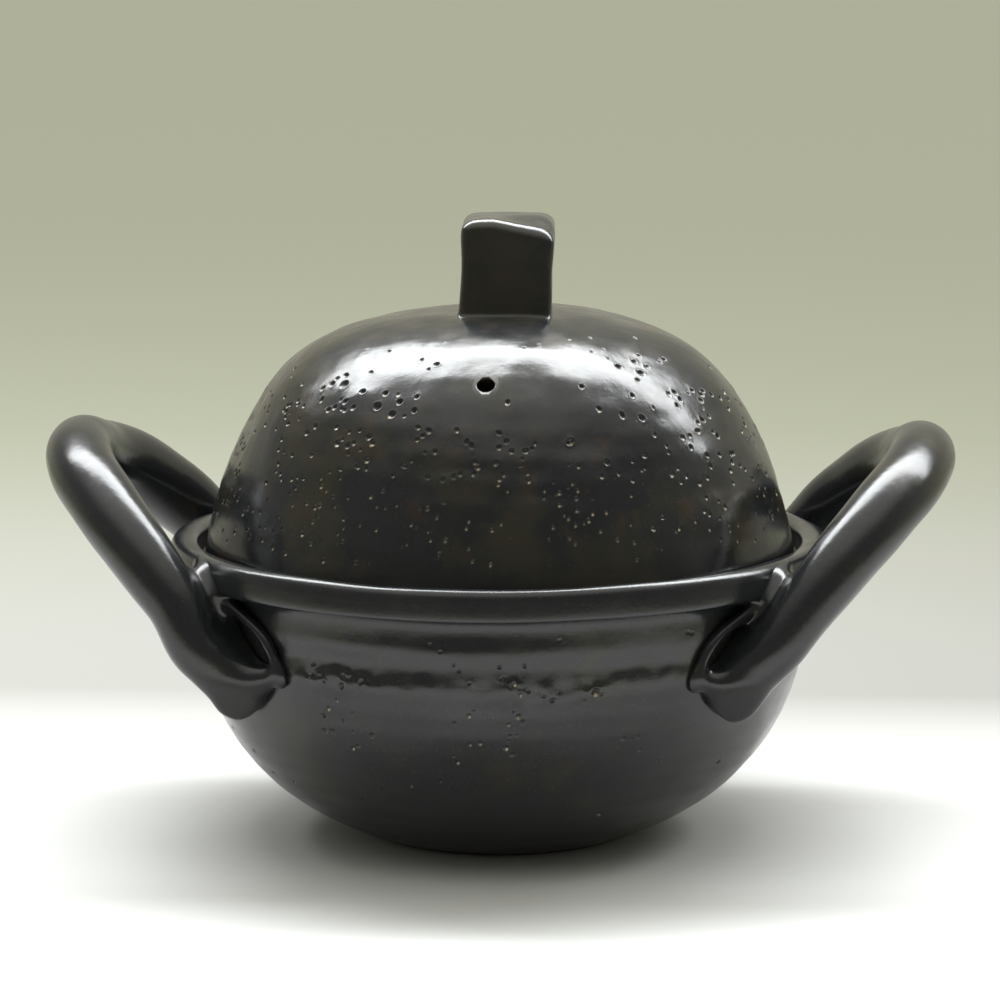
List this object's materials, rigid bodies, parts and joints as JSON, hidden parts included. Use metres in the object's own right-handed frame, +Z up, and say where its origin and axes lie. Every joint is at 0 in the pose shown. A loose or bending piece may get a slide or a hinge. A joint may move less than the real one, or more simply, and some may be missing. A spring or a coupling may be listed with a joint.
{
  "type": "lidded clay casserole pot",
  "caption": "Round-bellied glazed stoneware casserole with a high domed lift-off lid, a strap knob and raised loop handles.",
  "frame": {"origin": "centre of the foot ring, on the surface that the pot stands on", "axes": "+Z up, +X towards the right handle, -Y towards the side with the steam hole"},
  "size_m": [0.329, 0.24, 0.2248],
  "materials": {
    "pot_glaze": "satin black glaze with a slight metallic sheen over stoneware",
    "lid_glaze": "satin black glaze over a pitted, grogged stoneware"
  },
  "bodies": {
    "pot": {"pot_body": "pot_glaze", "handle_left": "pot_glaze", "handle_right": "pot_glaze", "luting_left_front": "pot_glaze", "luting_left_back": "pot_glaze", "luting_right_front": "pot_glaze", "luting_right_back": "pot_glaze"},
    "lid": {"lid_dome": "lid_glaze", "lid_knob": "lid_glaze"}
  },
  "joints": [
    {"name": "lid_lift", "type": "slide", "parent": "pot", "child": "lid", "axis": [0, 0, 1], "range_m": [0, 0.08]}
  ]
}
